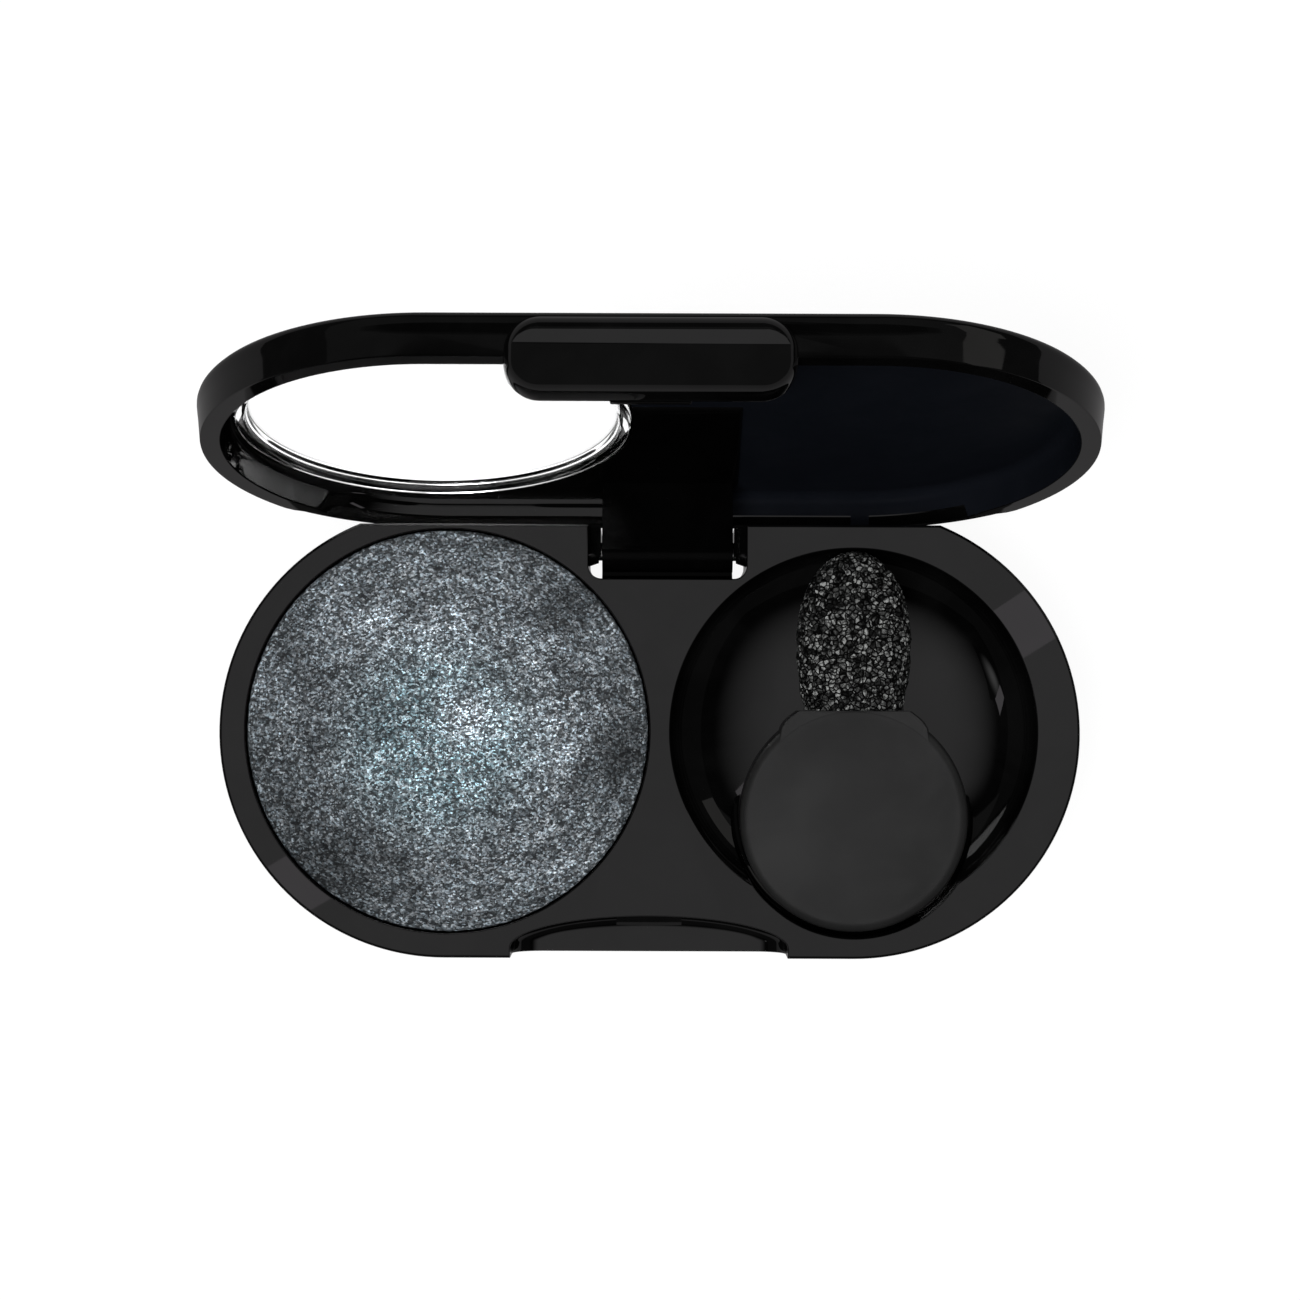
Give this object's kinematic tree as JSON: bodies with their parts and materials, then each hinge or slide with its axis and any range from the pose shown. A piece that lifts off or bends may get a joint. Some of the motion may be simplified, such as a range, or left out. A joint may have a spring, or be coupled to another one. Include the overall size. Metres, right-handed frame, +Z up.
{
  "type": "duo eyeshadow compact",
  "caption": "Pill-shaped hinged makeup compact, lid open, with a domed baked powder well, a round window in the lid and a sponge-tip applicator in a bowl.",
  "frame": {"origin": "middle of the underside, on the bottom plate's outer face", "axes": "+X along the length, from the powder to the applicator; +Y to the hinge; +Z up out of the deck"},
  "size_m": [0.061, 0.0428, 0.0338],
  "materials": {
    "base_plastic": "satin black",
    "plate_plastic": "fine matte texture",
    "label_paper": "matte, blank",
    "pan_metal": "plain pressed",
    "adhesive": "set glue",
    "powder": "baked, metallic glitter",
    "pin_steel": "drawn wire",
    "lid_plastic": "glossy black",
    "clear_plastic": "clear, polished",
    "handle_plastic": "satin black",
    "sponge_foam": "open-cell black foam"
  },
  "bodies": {
    "base": {"base_shell": "base_plastic", "bottom_plate": "plate_plastic", "shade_label": "label_paper", "powder_pan": "pan_metal", "pan_adhesive": "adhesive", "baked_powder": "powder", "hinge_pin": "pin_steel"},
    "lid": {"lid_shell": "lid_plastic", "window_lens": "clear_plastic"},
    "applicator": {"applicator_handle": "handle_plastic", "applicator_sponge": "sponge_foam"}
  },
  "joints": [
    {"name": "lid_hinge", "type": "hinge", "parent": "base", "child": "lid", "pos_m": [0, 0.01247, 0.00632], "axis": [1, 0, 0], "range_deg": [0, 108.43]},
    {"name": "applicator_lift", "type": "slide", "parent": "base", "child": "applicator", "axis": [0, 0, 1], "range_m": [0, 0.03]}
  ]
}
